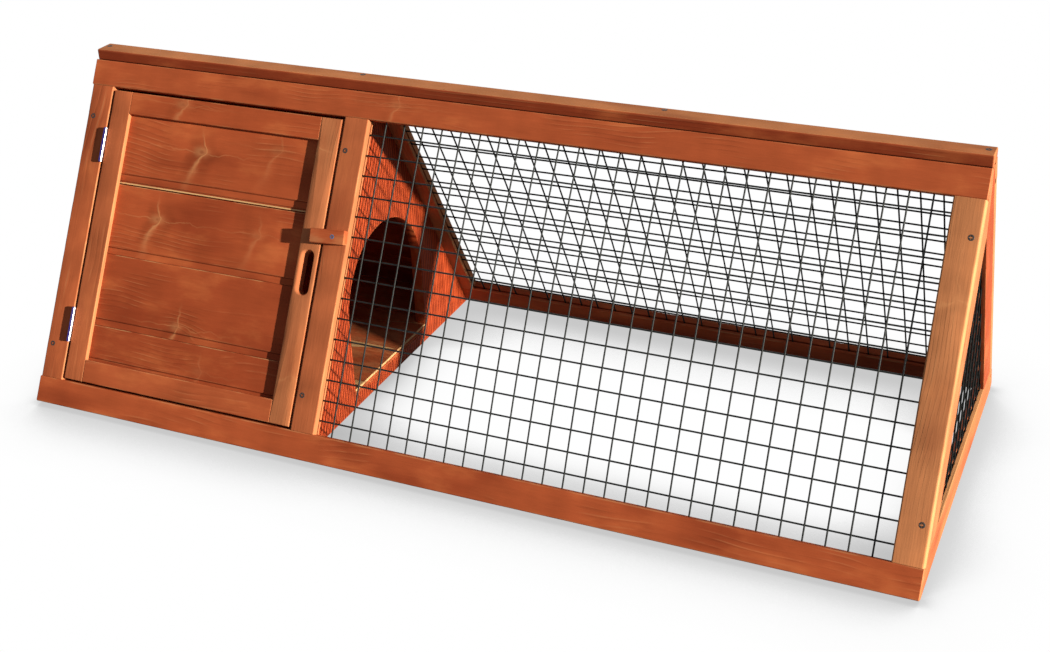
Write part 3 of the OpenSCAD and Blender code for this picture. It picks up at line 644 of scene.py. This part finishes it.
# %% Screw heads
def screw_heads(node, places, radius, place, finish="dark screw"):
    """Heads at (a, b, height, turn): loops from the rim over the disc to the cross and down into it."""
    arm, reach = 0.17 * radius, 0.62 * radius
    quarter = np.array([(arm, arm), (arm, reach), (-arm, reach)])
    plus = np.concatenate([quarter @ np.array(m) for m in ([[1, 0], [0, 1]], [[0, 1], [-1, 0]],
                                                           [[-1, 0], [0, -1]], [[0, -1], [1, 0]])])
    a = np.arctan2(plus[:, 1], plus[:, 0])
    a = np.sort(np.concatenate([a - 0.03, a + 0.03]))
    d = np.stack([np.cos(a), np.sin(a)], -1)
    r = ray_hit(plus, (0, 0), a)
    rim = np.full(len(r), radius)
    rings = [(rim, -1.2), (rim, -.1), (rim - .25, .12), (.75 * rim, .3), (r + .12, .32), (r, .2),
             (r * .75, -1.1)]
    one = np.array([np.column_stack([d * s[:, None], 0 * s + h]) for s, h in rings])
    heads = []
    for x, y, z, spin in places:
        c, s = math.cos(spin), math.sin(spin)
        heads.append(one @ np.array([[c, s, 0], [-s, c, 0], [0, 0, 1]]) + (x, y, z))
    settle(build("run_" + node, place(np.array(heads)), sharp=30), node, finish)


for side, place, mid in (("front", on_front, 392.1), ("back", on_back, 397)):
    at = [(u, v, 0, 0.4 * u + v) for u in (10.5, mid, 1143.4) for v in (78.4, 383)]
    screw_heads(f"{side}_post_screws", at, 3.6, place)
at = [(x, y, CAP_TOP, x) for x, y in ((8, 2.6), (389.6, 7), (783.3, 7), (1145, 2.6))]
screw_heads("ridge_screws", at, 3.6, upright)
screw_heads("turn_button_screw", [(*BUTTON, BUTTON_W[1], 0.5)], 3.0, on_front, "zinc")
print("pieces with screw heads:", len(waiting["dark screw"] + waiting["zinc"]))

# %% [markdown]
# ## The wire mesh
# The mesh is square and welded, with 25.4 mm between its wires. The upright wires lie on the
# outside and the level ones behind them, each half a wire away from the net's middle. A net of
# this size never lies quite flat: it bellies out between its battens by some millimetres.

# %% Nets of round wires
GAUGE, PITCH = 2.1, 25.4
AWAY = 0.42 * GAUGE  # from the net's middle to that of a wire, pressed by the weld
HOLD = 6.0  # length of each wire in its groove


def wires(node, kind, paths, one, two, place, finish):
    """Round wires along k paths of m points. A ring around each point lies in the directions one and two."""
    t = np.linspace(0, 2 * math.pi, 9)[:-1, None]
    ring = 0.5 * GAUGE * (np.cos(t) * np.array(one, float) + np.sin(t) * np.array(two, float))
    settle(build(f"run_{node}_{kind}", place(paths[:, :, None, :] + ring), sharp=60), node, finish)


def bulge(u, v, u0, swell):
    """Outward belly: a half sine wave in both directions, zero in the grooves that hold the net."""
    a = np.clip((u - u0) / (LAST_POST - u0), 0, 1)
    b = np.clip((v - RAIL) / (TOP - RAIL), 0, 1)
    return swell * np.sin(math.pi * a) ** 0.8 * np.sin(math.pi * b)


rng = np.random.default_rng(7)
# Painted shade: the back and end nets take a darker, duller copy of the wire coat, for the side the light
# barely reaches.
for side, place, u0, swell, finish in (("front", on_front, FRONT_POST + POST, 9.5, "wire"),
                                       ("back", on_back, BACK_POST + POST, 4.0, "wire in painted shade")):
    u = 462.6 + PITCH * np.arange(-2, 27)
    u = u[u > u0 - 5]
    s = np.linspace(RAIL - HOLD, TOP + HOLD, 25)
    U, V = np.meshgrid(u + rng.normal(0, 0.25, len(u)), s, indexing="ij")
    w = bulge(U, V, u0, swell) - MESH_IN + AWAY
    wires(f"{side}_mesh", "uprights", np.stack([U, V, w], -1), (1, 0, 0), (0, 0, 1), place, finish)
    v = 51.5 + PITCH * np.arange(15)
    s = np.linspace(u0 - HOLD, LAST_POST + HOLD, 41)
    V, U = np.meshgrid(v + rng.normal(0, 0.25, len(v)), s, indexing="ij")
    w = bulge(U, V, u0, swell) - MESH_IN - AWAY
    wires(f"{side}_mesh", "levels", np.stack([U, V, w], -1), (0, 1, 0), (0, 0, 1), place, finish)


def clear(z):
    """Half the length of a level wire of the end net at height z."""
    return inner_y(z) - (ENDS - HOLD) / SIN


x = RUN - END_MESH_IN
s = np.linspace(0, 1, 9)
y = PITCH * np.arange(-7, 8)
high = FOOT + (clear(FOOT) - np.abs(y)) * TAN
y, high = (k[high > ENDS + 10, None] for k in (y, high))
low = ENDS - HOLD
paths = np.stack(np.broadcast_arrays(x + AWAY, y, low + s * (high - low)), -1)
wires("right_end_mesh", "uprights", paths, (1, 0, 0), (0, 1, 0), upright, "wire in painted shade")
z = np.arange(51.5, 400, PITCH)
z = z[clear(z) > 8][:, None]
paths = np.stack(np.broadcast_arrays(x - AWAY, (2 * s - 1) * clear(z), z), -1)
wires("right_end_mesh", "levels", paths, (1, 0, 0), (0, 0, 1), upright, "wire in painted shade")
print("pieces of mesh:", len(waiting["wire"] + waiting["wire in painted shade"]))

# %% [markdown]
# ## Building materials from small steps
# Blender's shader editor joins boxes with wires. In a script the same graph is easier to read
# when each box is one call, and when sums and products look like sums and products. So a small
# class stands for a number on its way from box to box: adding two of them draws an Add box.

# %% Helpers for shader graphs
def srgb(r, g, b):
    """A colour as a paint chart gives it, 0 to 255, in the linear numbers that a shader wants."""
    c = np.array([r, g, b]) / 255
    return (*np.where(c <= 0.04045, c / 12.92, ((c + 0.055) / 1.055) ** 2.4).tolist(), 1.0)


class Signal:
    """What a node gives out. Arithmetic with signals draws the nodes that do it."""

    def __init__(self, socket):
        self.socket = socket


for name, operation in (("add", "ADD"), ("sub", "SUBTRACT"), ("mul", "MULTIPLY"), ("truediv", "DIVIDE"),
                        ("pow", "POWER")):
    setattr(Signal, f"__{name}__", lambda self, other, kind=operation: calc(kind, self, other))
    setattr(Signal, f"__r{name}__", lambda self, other, kind=operation: calc(kind, other, self))
Signal.__abs__ = lambda self: calc("ABSOLUTE", self)


def add(kind, inputs=None, tree=None, **settings):
    """A node with its settings, drawn where its inputs are. Each input is a plain value or a
    signal. The result holds the node's outputs by name and by number."""
    inputs = inputs or {}
    tree = tree or next(v.socket.id_data for v in inputs.values() if isinstance(v, Signal))
    n = tree.nodes.new(kind)
    for key, value in settings.items():
        setattr(n, key, value)
    for key, value in inputs.items():
        if isinstance(value, Signal):
            tree.links.new(value.socket, n.inputs[key])
        else:
            n.inputs[key].default_value = value
    return {key: Signal(s) for at, s in enumerate(n.outputs) for key in (s.name, at)}


def calc(operation, *values, clamp=False):
    """One step of arithmetic."""
    return add("ShaderNodeMath", dict(enumerate(values)), operation=operation, use_clamp=clamp)[0]


def blend(factor, a, b, mode="MIX"):
    """A blend of two colours: a at factor 0, b at factor 1."""
    return add("ShaderNodeMix", {0: factor, 6: a, 7: b}, data_type="RGBA", blend_type=mode)[2]


def dimmed(colour, light):
    """A colour times a number."""
    return blend(1.0, colour, add("ShaderNodeCombineColor", {0: light, 1: light, 2: light})[0], "MULTIPLY")


def ramp(value, low, high, to_low=0.0, to_high=1.0):
    """A soft step: to_low below low, to_high above high."""
    return add("ShaderNodeMapRange", {0: value, 1: low, 2: high, 3: to_low, 4: to_high},
               interpolation_type="SMOOTHSTEP")[0]


def bell(value, width):
    """A hump: exp(-(value / width) squared)."""
    q = value / width
    return calc("EXPONENT", q * q * -1.0)


def noise(vector, scales, detail=2.0, roughness=0.5):
    """Noise with so many waves per metre along, across and through the timber."""
    at = add("ShaderNodeVectorMath", {0: vector, 1: scales}, operation="MULTIPLY")[0]
    return add("ShaderNodeTexNoise", {"Vector": at, "Scale": 1.0, "Detail": detail,
                                      "Roughness": roughness})[0]


def split(vector):
    """The three numbers of a vector."""
    got = add("ShaderNodeSeparateXYZ", {0: vector})
    return got[0], got[1], got[2]


def new_group(name, vectors, **inputs):
    """A node group with vector inputs, and others by name (with _ for a space) and default."""
    group = bpy.data.node_groups.new(name, "ShaderNodeTree")
    for label in vectors:
        group.interface.new_socket(label, in_out="INPUT", socket_type="NodeSocketVector")
    for label, value in inputs.items():
        kind = "NodeSocketColor" if isinstance(value, tuple) else "NodeSocketFloat"
        socket = group.interface.new_socket(label.replace("_", " "), in_out="INPUT", socket_type=kind)
        socket.default_value = value
    return group, add("NodeGroupInput", tree=group)


def give(group, **results):
    """The group's outputs: a colour where it is called Color, and else plain numbers."""
    for label in results:
        kind = "NodeSocketColor" if label == "Color" else "NodeSocketFloat"
        group.interface.new_socket(label, in_out="OUTPUT", socket_type=kind)
    end = group.nodes.new("NodeGroupOutput")
    for label, value in results.items():
        group.links.new(value.socket, end.inputs[label])
    print("nodes in the group", group.name + ":", len(group.nodes))


print("white on a paint chart is", srgb(255, 255, 255))

# %% [markdown]
# ## Knots
# Where a branch grew, the grain swings round it. On a stained board you see three things: a soft
# pale flame that runs across the board, where the swung fibres meet the stain end on, dark
# smudges on both sides of it, and a small dark eye. We could scatter knots at random, but then
# they also land on small battens, where a joiner would never leave one. So each board names its
# own knots, and this group draws one of them, in millimetres from the knot's middle.

# %% Node group for one knot
knot_group, got = new_group("Knot", ("Timber", "Knot"), Ragged=0.0)
millimetres = add("ShaderNodeVectorMath", {0: got["Timber"], 1: (1000, 1000, 1000)}, operation="MULTIPLY")[0]
u, v, _ = split(millimetres)
ku, kv, force = split(got["Knot"])
x, y = u - ku, v - kv
up = abs(y)
ragged = got["Ragged"] - 0.5

# The flame follows a bowed line. It widens away from the knot and reaches further down than up.
bow = y * 0.15 - up * 0.2 + bell(y, 7.0) * 5.0
off = x - bow + ragged * 22.0
wide = 1.2 + up * 0.085 + y * -0.055
fade = bell(y, 27.0 - calc("SIGN", y) * 9.0) * force
flame = bell(off, wide) * fade
# One thin line along the grain runs through the knot.
thread = bell(y - ragged * 16.0, 0.8)
flame = calc("MAXIMUM", flame, thread * bell(x, 60.0) * force * 0.5)
smudge = (bell(off + 11.0, 8.0) + bell(off - 15.0, 9.0) * 0.6) * fade
far = calc("SQRT", x * x * 0.35 + y * y) + ragged * 8.0
flame = calc("MAXIMUM", flame, bell(far, 5.5) * force * 0.8)
give(knot_group, Flame=flame, Smudge=smudge, Eye=bell(far, 2.0) * force,
     Swing=bell(far, 17.0) * calc("GREATER_THAN", force, 0.01))

# %% [markdown]
# ## Stained softwood
# A board is a slice of a trunk. Its rings are cylinders round the pith, which usually lies some
# centimetres below the face, so the distance from the pith, a little warped, gives rings that
# run over the face and round the edges in one piece. They show only here and there as a fine
# line. The stain is a thin glaze of rusty brown. It is blotchy over a hand's width, redder
# where the wood drank more of it, and thin on worn corners.

# %% Node group for all the battens and boards
pine, got = new_group(
    "Stained softwood", ("Timber", "Stain", "Knot one", "Knot two"), Rust=srgb(171, 80, 46),
    Tan=srgb(182, 111, 72), Dry=srgb(216, 153, 102), Deep=srgb(118, 42, 24), Glow=srgb(206, 122, 70),
    Bare=srgb(226, 178, 124), Soot=srgb(40, 13, 8), Ring_pitch=0.0052)
tone, edge, seed = split(got["Stain"])
shift = add("ShaderNodeCombineXYZ", {0: seed * 0.731, 1: seed * 0.173, 2: seed * 0.317})[0]
where = add("ShaderNodeVectorMath", {0: got["Timber"], 1: shift}, operation="ADD")[0]

ragged = noise(where, (42, 42, 42), detail=3.0)
one, two = (add("ShaderNodeGroup", {"Timber": got["Timber"], "Knot": got[name], "Ragged": ragged},
                node_tree=knot_group) for name in ("Knot one", "Knot two"))
flame, smudge, eye, swing = (one[label] + two[label] for label in ("Flame", "Smudge", "Eye", "Swing"))

# The pith lies 4 cm below the face, at a place across the board that comes from its seed.
_, across, through = split(got["Timber"])
slow = noise(where, (4.5, 9, 9), detail=1.5)
a = across - calc("FRACT", seed * 0.618) * 0.12 + slow * 0.05
b = through - 0.04 + swing * 0.012
ring = calc("FRACT", calc("SQRT", a * a + b * b) / got["Ring pitch"])
late = ring ** 3.0 * ramp(ring, 0.9, 1.0, 1, 0)
line = bell(ring - 0.1, 0.09)

fibre = noise(where, (40, 620, 620), detail=2.0)
streak = noise(where, (16, 230, 230), detail=3.0, roughness=0.6)
cloud = noise(where, (12, 30, 30), detail=4.0, roughness=0.55)
curl = noise(where, (34, 9, 9), detail=1.5)
drift = noise(where, (5, 15, 9), detail=2.0)
here = ramp(noise(where, (9, 22, 22), detail=1.0), 0.50, 0.66)  # where the rings show

# Painted light and shade: the tone also carries it, paler on sawn ends, lit narrow sides, the ridge board's
# top and the end rail's outer ledge, deeper on the den's inner faces, the ridge board's long faces and the
# end rail's inner ledge.
base = blend(add("ShaderNodeClamp", {0: tone})[0], got["Rust"], got["Tan"])
base = blend(calc("SUBTRACT", tone, 1.0, clamp=True), base, got["Dry"])
base = blend(calc("MULTIPLY", tone, -2.0, clamp=True), base, got["Deep"])
base = blend(ramp(drift, 0.50, 0.72) * 0.5, base, got["Deep"])
base = blend(ramp(cloud, 0.50, 0.75) * 0.24, base, got["Glow"])
light = 1.04
for amount, wave in ((0.13, fibre), (0.18, streak), (0.60, cloud), (0.30, curl)):
    light = light + (wave - 0.5) * amount
stained = dimmed(base, light + late * here * -0.24 + smudge * -0.26)
stained = blend(line * here * ramp(streak, 0.40, 0.60) * 0.14, stained, got["Bare"])
stained = blend(flame * 0.56, stained, got["Dry"])
stained = blend(eye * 0.5, stained, got["Deep"])
patchy = ramp(noise(where, (30, 60, 60), detail=3.0), 0.38, 0.62)
stained = blend(calc("MAXIMUM", edge, 0.0) * patchy * 0.22, stained, got["Bare"])
# Pooled stain and painted shade: hollow corners and the joint under the ridge board go near black.
stained = blend(calc("MULTIPLY", edge, -0.85, clamp=True), stained, got["Soot"])
bare = blend(late * 0.35, got["Bare"], got["Tan"])
give(pine, Color=blend(calc("LESS_THAN", tone, -0.5), stained, bare), Roughness=0.56 + streak * 0.22,
     Height=fibre * 0.5 + late * here * -0.5 + flame * 0.6)

# %% [markdown]
# ## The partition's sheet
# The partition is a sheet of cheap plywood with straight, upright grain, rough from the saw, in a
# thicker and redder coat. The saw left ribs about 5 mm apart, crossed by finer stripes of the
# grain. In low light each of them throws a small shadow of its own, so they go into the height,
# and that shade is also painted into the colour as dark stripes, mixed with the grain's own.

# %% Node group for the sheet
veneer, got = new_group("Striped sheet", ("Timber", "Stain"), Red=srgb(174, 72, 38), Dark=srgb(126, 43, 21),
                        Worn=srgb(214, 150, 96), Rib_pitch=0.0052)
_, edge, _ = split(got["Stain"])
_, across, _ = split(got["Timber"])
lines = noise(got["Timber"], (2, 330, 60), detail=1.0)
bands = noise(got["Timber"], (4, 45, 30), detail=2.0)
blotch = noise(got["Timber"], (16, 16, 16), detail=3.0)
ribs = calc("COSINE", (across / got["Rib pitch"] + bands * 0.8) * TURN)
# Grain and painted shade: the dark stripes follow the grain and the saw's ribs.
mask = ramp(lines * 0.6 + ribs * 0.14, 0.18, 0.42)
colour = dimmed(blend(mask, got["Dark"], got["Red"]), 0.75 + blotch * 0.5)
worn = edge * ramp(noise(got["Timber"], (90, 90, 90)), 0.4, 0.7) * 0.3
give(veneer, Color=blend(worn, colour, got["Worn"]), Roughness=0.45 + lines * 0.2, Height=mask)

# %% [markdown]
# ## Materials
# Each material is now short: a principled shader whose colour, roughness and height come from
# its group, and whose even settings stand on the shader itself.

# %% Wood, wire, zinc and screws
def material(name, colour=(0.5, 0.5, 0.5, 1), roughness=0.5, metallic=0.0, specular=0.5, group=None,
             bump=0.0):
    """A principled shader with even values, or one that a group feeds."""
    m = bpy.data.materials.new(name)
    m.use_nodes = True
    tree, shader = m.node_tree, m.node_tree.nodes["Principled BSDF"]
    for label, value in {"Base Color": colour, "Roughness": roughness, "Metallic": metallic,
                         "Specular IOR Level": specular}.items():
        shader.inputs[label].default_value = value
    if group:
        asked = [s.name for s in group.interface.items_tree if s.socket_type == "NodeSocketVector"]
        marks = {label: add("ShaderNodeAttribute", tree=tree, attribute_name=label.lower())["Vector"]
                 for label in asked}
        made = add("ShaderNodeGroup", marks, node_tree=group)
        relief = add("ShaderNodeBump", {"Height": made["Height"], "Strength": bump, "Distance": 0.0005})
        for label, value in {"Base Color": made["Color"], "Roughness": made["Roughness"],
                             "Normal": relief[0]}.items():
            tree.links.new(value.socket, shader.inputs[label])
    return m


finishes = {
    "pine": material("stained softwood", group=pine, bump=0.5, specular=0.04),
    "veneer": material("striped veneer", group=veneer, bump=0.4, specular=0.05),
    "wire": material("wire coat", srgb(22, 24, 23), 0.45, specular=0.2),
    # Painted shade: a darker, duller copy of the wire coat for the back and end nets.
    "wire in painted shade": material("wire coat in painted shade", srgb(20, 20, 19), 0.6, specular=0.08),
    "dark screw": material("browned screws", srgb(36, 25, 20), 0.5),
    "zinc": material("bright zinc", srgb(96, 108, 134), 0.38, 1.0),
    "zinc with painted reflection": material("zinc with painted reflection", roughness=0.35, metallic=1.0),
}


def lies_in(tree):
    """Where a point lies in the world, in metres, because every object stands at the origin."""
    return add("ShaderNodeTexCoord", tree=tree)["Object"]


# Painted reflection: the hinge knuckles are violet on their left and white on their right,
# standing for the dark and the bright surroundings they mirror. The knuckles' middle is at
# x = -0.5405, and the change lies a little to the right of it.
tree = finishes["zinc with painted reflection"].node_tree
x, _, _ = split(lies_in(tree))
knuckle_reflection_colour = blend(ramp(x, -0.5392, -0.5386), srgb(58, 48, 128), srgb(240, 242, 248))
tarnish = ramp(noise(lies_in(tree), (220, 220, 220)), 0.45, 0.7)
knuckle_reflection_colour = blend(tarnish * 0.35, knuckle_reflection_colour, srgb(120, 116, 150))
tree.links.new(knuckle_reflection_colour.socket, tree.nodes["Principled BSDF"].inputs["Base Color"])
for finish, things in waiting.items():
    for piece in things:
        piece.data.materials.append(finishes[finish])
for name in nodes:
    if "hinge" in name and "stile" not in name:
        for slot_of in nodes[name].material_slots:
            slot_of.material = finishes["zinc with painted reflection"]
print("materials:", ", ".join(m.name for m in finishes.values()))

# %% [markdown]
# ## Floor, light and camera
# The run stands on white. The photographer's light comes low from the right, so end faces glow
# while the long side stays calm, and a soft white fill comes from everywhere. The floor shows
# only the soft darkening close to where the wood stands, a little deeper inside the run: along the
# front rail and before the doorway.

# %% Stage
def seen(tree):
    """1 for what the camera sees, also in a reflection or through glass, and 0 for soft light."""
    ray = add("ShaderNodeLightPath", tree=tree)
    shine = calc("MAXIMUM", ray["Is Glossy Ray"], ray["Is Transmission Ray"])
    return calc("MAXIMUM", ray["Is Camera Ray"], shine)


bpy.ops.mesh.primitive_plane_add(size=30, location=(0, 0, -0.0004))
floor = bpy.context.object
floor.name = "floor"
m = bpy.data.materials.new("white floor")
m.use_nodes = True
tree = m.node_tree
tree.nodes.clear()
x, y, _ = split(lies_in(tree))

# The floor looks for wood near by in a direction that leans towards the nearest long rail. The
# side from which it looks changes under that rail, 13 mm in, and fades away past the run's ends.
past_end = calc("MAXIMUM", abs(x) - RUN / 2000, 0.001)
outside = (abs(y) - (HALF / 1000 - 0.013)) / past_end
outside = calc("MAXIMUM", calc("MINIMUM", outside, 1.0), -1.0)
look = add("ShaderNodeCombineXYZ", {1: calc("SIGN", y) * outside * -0.5, 2: 0.866})[0]
near = add("ShaderNodeAmbientOcclusion", {"Distance": 0.13, "Normal": look}, samples=16)["AO"]
shadow = near.socket.id_data.nodes.new("ShaderNodeValToRGB")
tree.links.new(near.socket, shadow.inputs[0])
stops = shadow.color_ramp.elements
for at, grey in ((0.30, 0.58), (0.53, 0.655), (0.62, 0.70), (0.68, 0.77), (0.74, 0.85), (0.80, 0.925),
                 (0.87, 0.98)):
    stops.new(at).color = (grey, grey, grey, 1)
stops.remove(stops[0])

# Painted shade: two fixed bands of extra darkness, along the inside of the front rail and before the
# doorway, come from the floor's position alone.
by_front = bell(y + 0.165, 0.03)
by_doorway = bell(x + 0.166, 0.04) * bell(y + 0.01, 0.085)
deeper = (by_front * 0.18 + by_doorway * 0.23) * calc("LESS_THAN", abs(x), RUN / 2000 - 0.007)
glow = Signal(shadow.outputs[0]) * (1.0 - deeper * calc("LESS_THAN", outside, 0.0))
white = add("ShaderNodeEmission", {"Color": (1, 1, 1, 1), "Strength": glow})[0]
dim = add("ShaderNodeBsdfDiffuse", {"Color": (0.2, 0.2, 0.2, 1)}, tree=tree)[0]
both = add("ShaderNodeMixShader", {0: seen(tree), 1: dim, 2: white})[0]
tree.links.new(both.socket, tree.nodes.new("ShaderNodeOutputMaterial").inputs[0])
floor.data.materials.append(m)

world = bpy.data.worlds.new("white studio")
bpy.context.scene.world = world
world.use_nodes = True
tree = world.node_tree
tree.nodes.clear()
shown = seen(tree)
sky = add("ShaderNodeBackground", {"Color": blend(shown, (0.9, 0.97, 1.15, 1), (1, 1, 1, 1)),
                                   "Strength": ramp(shown, 0, 1, 0.2, 1.0)})[0]
tree.links.new(sky.socket, tree.nodes.new("ShaderNodeOutputWorld").inputs[0])

key = bpy.data.lights.new("key", "SUN")
key.energy, key.angle, key.color = 8.2, math.radians(1.2), (1.0, 0.97, 0.84)
lamp = put("key", key)
towards = mathutils.Vector((0.949, -0.1964, 0.2467))
lamp.rotation_euler = towards.to_track_quat("Z", "Y").to_euler()
bpy.context.scene.view_settings.view_transform = "Standard"
print("light and floor are set")

# %% [markdown]
# ## The camera
# The camera stands where the photographer stood: a little to the right, above the run and
# slightly tilted. Its three axes are written as rows: to the right, down, and forward.

# %% Camera
right, down, forward = np.array([[0.9150794, 0.4021256, -0.0304102], [0.1550254, -0.4203846, -0.8940044],
                                 [-0.3722860, 0.8133706, -0.4470250]])
lens = bpy.data.cameras.new("camera")
lens.sensor_width, lens.lens = 36.0, 52.62
lens.shift_x, lens.shift_y = -2.13 / 1050, -35.50 / 1050
camera = put("camera", lens)
turned = mathutils.Matrix((right, -down, -forward)).transposed().to_4x4()
camera.matrix_world = mathutils.Matrix.Translation((0.74795, -1.56949, 1.02160)) @ turned
bpy.context.scene.camera = camera
print("camera at", [round(c, 2) for c in camera.location])
